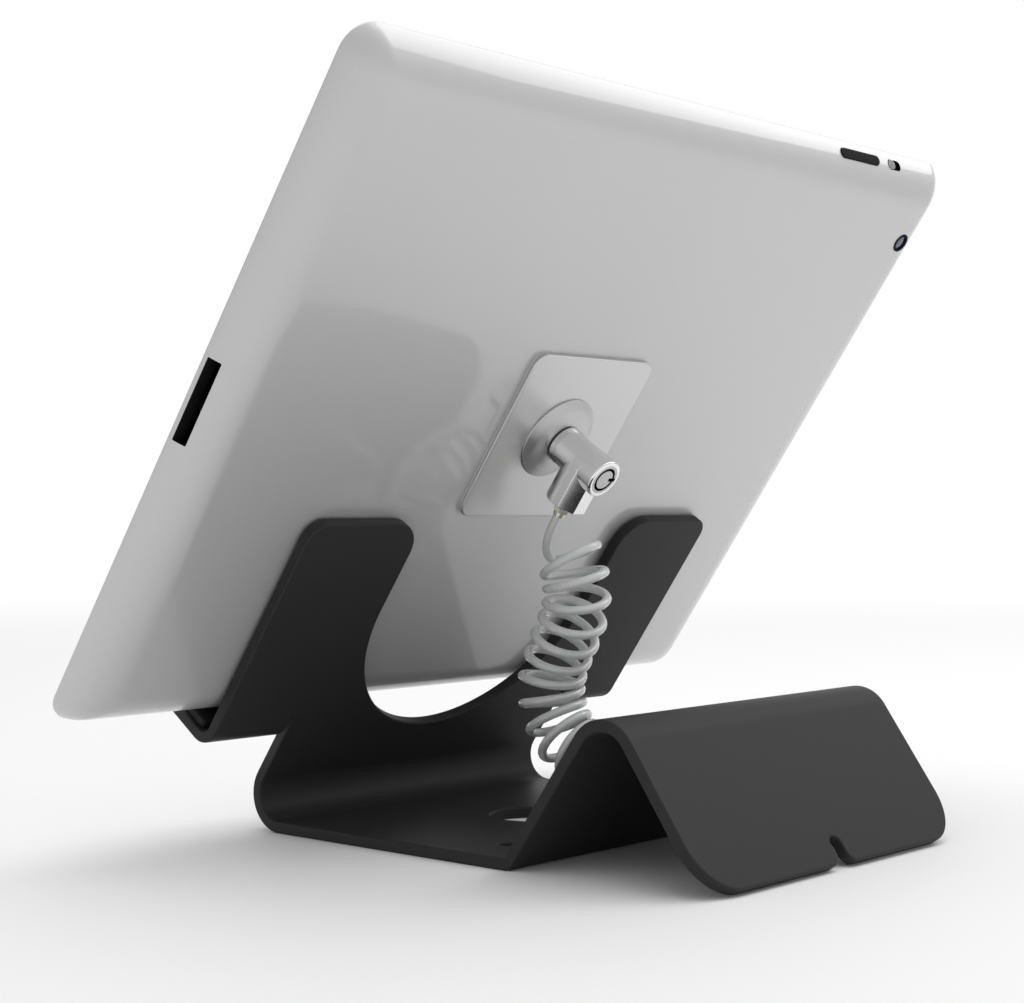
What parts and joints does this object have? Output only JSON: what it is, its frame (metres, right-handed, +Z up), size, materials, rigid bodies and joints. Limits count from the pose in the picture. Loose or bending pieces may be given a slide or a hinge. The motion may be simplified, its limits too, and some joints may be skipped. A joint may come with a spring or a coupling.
{
  "type": "tablet security stand",
  "caption": "Bent steel stand that holds a tablet by two hooks under its lower edge, with a bonded lock plate, a key lock and a curly tether into the ridge of the base.",
  "frame": {"origin": "centre of the round cable hole in the base, on the plane that the stand rests on", "axes": "+Z up along the screw holes' axes, +Y from the front bend towards the ridge, +X along the tablet's long edge"},
  "size_m": [0.2411, 0.1568, 0.1878],
  "materials": {
    "stand_paint": "satin",
    "pad_rubber": "matte",
    "cord_skin": "gloss",
    "ferrule_brass": "polished",
    "lock_chrome": "polished",
    "lock_steel": "brushed",
    "plate_aluminium": "satin",
    "shell_aluminium": "satin",
    "adhesive": "matte",
    "front_glass": "gloss",
    "black_plastic": "satin",
    "display": "gloss",
    "battery": "matte",
    "board": "satin",
    "camera_glass": "gloss",
    "switch_grey": "satin"
  },
  "bodies": {
    "stand": {"stand_sheet": "stand_paint", "ledge_pads": "pad_rubber", "arm_pads": "pad_rubber", "cord_grommet": "pad_rubber", "tether_anchor": "lock_steel", "tether_tail": "cord_skin", "tether_coil": "cord_skin"},
    "tablet": {"rear_shell": "shell_aluminium", "glass_frame": "black_plastic", "front_glass": "front_glass", "display_panel": "display", "battery_cells": "battery", "logic_board": "board", "dock_connector": "black_plastic", "headphone_jack": "black_plastic", "camera_ring": "black_plastic", "camera_lens": "camera_glass", "plate_adhesive": "adhesive", "security_plate": "plate_aluminium", "lock_dome": "plate_aluminium", "lock_body": "lock_chrome", "lock_pins": "lock_steel", "swivel_bush": "lock_steel", "tether_lead": "cord_skin"},
    "key": {"key_core": "lock_steel", "lock_spindle": "lock_steel"},
    "ferrule": {"cord_ferrule": "ferrule_brass"},
    "volume": {"volume_rocker": "black_plastic"},
    "mute": {"mute_switch": "switch_grey"},
    "power": {"power_button": "black_plastic"},
    "home": {"home_button": "black_plastic"}
  },
  "joints": [
    {"name": "tablet_lift", "type": "slide", "parent": "stand", "child": "tablet", "axis": [0, 0.5736, 0.8192], "range_m": [0, 0.05], "deforming": ["tether_coil"]},
    {"name": "key_turn", "type": "hinge", "parent": "tablet", "child": "key", "pos_m": [0.00615, 0.02847, 0.09433], "axis": [0, 0.8192, -0.5736], "range_deg": [0, 90]},
    {"name": "cord_swivel", "type": "hinge", "parent": "tablet", "child": "ferrule", "pos_m": [0.00615, 0.01634, 0.08818], "axis": [0, -0.5736, -0.8192], "continuous": true},
    {"name": "volume_rock", "type": "hinge", "parent": "tablet", "child": "volume", "pos_m": [-0.06805, 0.05925, 0.18339], "axis": [0, -0.2588, 0.9659], "range_deg": [-1.5, 1.5], "stiffness_Nm_per_rad": 0.05},
    {"name": "mute_slide", "type": "slide", "parent": "tablet", "child": "mute", "axis": [-1, 0, 0], "range_m": [0, 0.003]},
    {"name": "power_press", "type": "slide", "parent": "tablet", "child": "power", "axis": [0.766, -0.5265, 0.3687], "range_m": [0, 0.0004], "stiffness_N_per_m": 800, "springref_m": -0.0003},
    {"name": "home_press", "type": "slide", "parent": "tablet", "child": "home", "axis": [0, 0.8192, -0.5736], "range_m": [0, 0.0004], "stiffness_N_per_m": 800, "springref_m": -0.0003}
  ]
}
